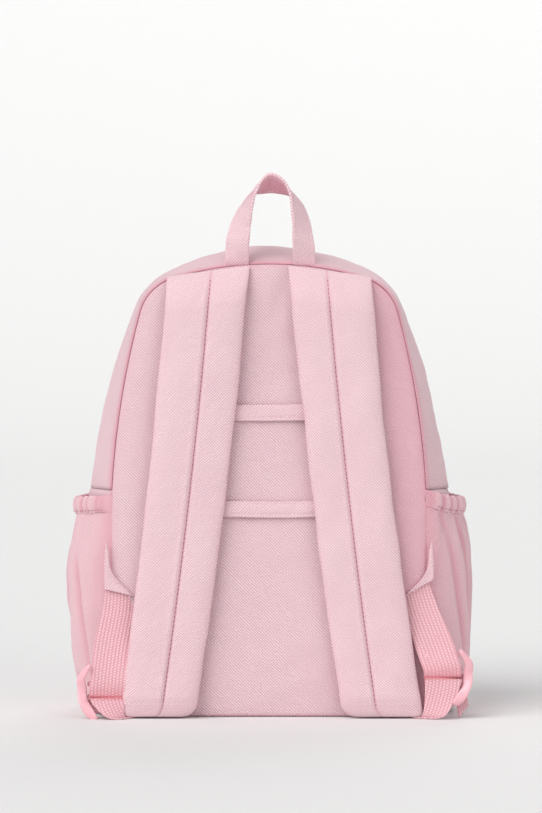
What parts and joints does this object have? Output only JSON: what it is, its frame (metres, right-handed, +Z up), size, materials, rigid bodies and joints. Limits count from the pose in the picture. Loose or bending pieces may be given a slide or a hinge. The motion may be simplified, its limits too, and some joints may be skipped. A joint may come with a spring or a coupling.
{
  "type": "school backpack",
  "caption": "Small upright school backpack with padded shoulder straps, trolley bands, gathered side pockets, a zip-round main compartment and a zipped front pocket.",
  "frame": {"origin": "middle of the flat base, on the floor the bag stands on", "axes": "+Z up, +X to the right for someone looking at the straps, -Y the side with the shoulder straps, +Y the side with the front pocket"},
  "size_m": [0.332, 0.1824, 0.4361],
  "materials": {
    "shell": "matt woven twill",
    "lining": "smooth lining",
    "foam": "closed-cell foam sheet",
    "board": "flat sheet",
    "webbing": "ribbed webbing",
    "buckle": "moulded, glossy",
    "zip_tape": "woven tape with a coil of teeth",
    "zip_metal": "enamelled"
  },
  "bodies": {
    "bag": {"back_panel_cover": "shell", "rear_gusset": "shell", "side_panel_left": "shell", "side_panel_right": "shell", "base_panel": "shell", "front_panel_lower": "shell", "zip_end_tab_left": "shell", "zip_end_tab_right": "shell", "side_pocket_left": "shell", "side_pocket_right": "shell", "pocket_elastic_left": "shell", "pocket_elastic_right": "shell", "trolley_band_upper": "shell", "trolley_band_lower": "shell", "webbing_tab_left": "shell", "webbing_tab_right": "shell", "front_pocket_face": "shell", "front_pocket_gusset": "shell", "back_panel_lining": "lining", "rear_seam_binding": "lining", "back_panel_foam": "foam", "base_board": "board", "main_zip_rear_tape": "zip_tape", "pocket_zip_front_tape": "zip_tape"},
    "front_flap": {"front_panel_upper": "shell", "front_gusset": "shell", "front_seam_binding": "lining", "main_zip_front_tape": "zip_tape"},
    "slider_left": {"main_slider_left": "zip_metal"},
    "slider_right": {"main_slider_right": "zip_metal"},
    "pull_left": {"main_pull_left": "zip_metal"},
    "pull_right": {"main_pull_right": "zip_metal"},
    "handle": {"grab_handle": "shell"},
    "strap_left": {"strap_front_left": "shell", "strap_foam_left": "foam", "strap_back_left": "lining", "strap_end_loop_left": "webbing", "ladder_lock_left": "buckle", "webbing_tail_left": "webbing"},
    "strap_right": {"strap_front_right": "shell", "strap_foam_right": "foam", "strap_back_right": "lining", "strap_end_loop_right": "webbing", "ladder_lock_right": "buckle", "webbing_tail_right": "webbing"},
    "adjuster_left": {"adjuster_webbing_left": "webbing"},
    "adjuster_right": {"adjuster_webbing_right": "webbing"},
    "pocket_lip": {"front_pocket_lip": "shell", "pocket_zip_lip_tape": "zip_tape"},
    "pocket_slider": {"pocket_slider": "zip_metal"},
    "pocket_pull": {"pocket_pull": "zip_metal"}
  },
  "joints": [
    {"name": "flap_fold", "type": "hinge", "parent": "bag", "child": "front_flap", "pos_m": [0, 0.0673, 0.18215], "axis": [-1, 0, 0], "range_deg": [0, 85]},
    {"name": "zip_left", "type": "hinge", "parent": "bag", "child": "slider_left", "pos_m": [0, 0.038, 0.191], "axis": [0, -1, 0], "range_deg": [0, 20]},
    {"name": "zip_right", "type": "hinge", "parent": "bag", "child": "slider_right", "pos_m": [0, 0.038, 0.191], "axis": [0, 1, 0], "range_deg": [0, 20]},
    {"name": "pull_left_turn", "type": "hinge", "parent": "slider_left", "child": "pull_left", "pos_m": [-0.00999, 0.0392, 0.37146], "axis": [0.0113, 0.9563, -0.2922], "range_deg": [0, 110]},
    {"name": "pull_right_turn", "type": "hinge", "parent": "slider_right", "child": "pull_right", "pos_m": [0.00999, 0.0392, 0.37146], "axis": [0.0113, -0.9563, 0.2922], "range_deg": [0, 110]},
    {"name": "handle_swing", "type": "hinge", "parent": "bag", "child": "handle", "pos_m": [0, -0.0665, 0.3643], "axis": [1, 0, 0], "range_deg": [-30, 85], "stiffness_Nm_per_rad": 0.03},
    {"name": "strap_left_swing", "type": "hinge", "parent": "bag", "child": "strap_left", "pos_m": [-0.0484, -0.0665, 0.3582], "axis": [-1, 0, 0], "range_deg": [0, 18]},
    {"name": "strap_right_swing", "type": "hinge", "parent": "bag", "child": "strap_right", "pos_m": [0.0484, -0.0665, 0.3582], "axis": [-1, 0, 0], "range_deg": [0, 18]},
    {"name": "adjuster_left_swing", "type": "hinge", "parent": "bag", "child": "adjuster_left", "pos_m": [-0.12, -0.0677, 0.0885], "axis": [-1, 0, 0], "range_deg": [0, 62]},
    {"name": "adjuster_right_swing", "type": "hinge", "parent": "bag", "child": "adjuster_right", "pos_m": [0.12, -0.0677, 0.0885], "axis": [-1, 0, 0], "range_deg": [0, 62]},
    {"name": "lip_fold", "type": "hinge", "parent": "bag", "child": "pocket_lip", "pos_m": [0, 0.0673, 0.15], "axis": [1, 0, 0], "range_deg": [0, 28]},
    {"name": "pocket_zip_slide", "type": "slide", "parent": "pocket_lip", "child": "pocket_slider", "axis": [1, 0, 0], "range_m": [-0.118, 0]},
    {"name": "pocket_pull_turn", "type": "hinge", "parent": "pocket_slider", "child": "pocket_pull", "pos_m": [0.0485, 0.08425, 0.1544], "axis": [0, -1, 0], "range_deg": [0, 50]}
  ],
  "couplings": [
    {"joint": "adjuster_left_swing", "follows": "strap_left_swing", "ratio": 3.4},
    {"joint": "adjuster_right_swing", "follows": "strap_right_swing", "ratio": 3.4}
  ]
}
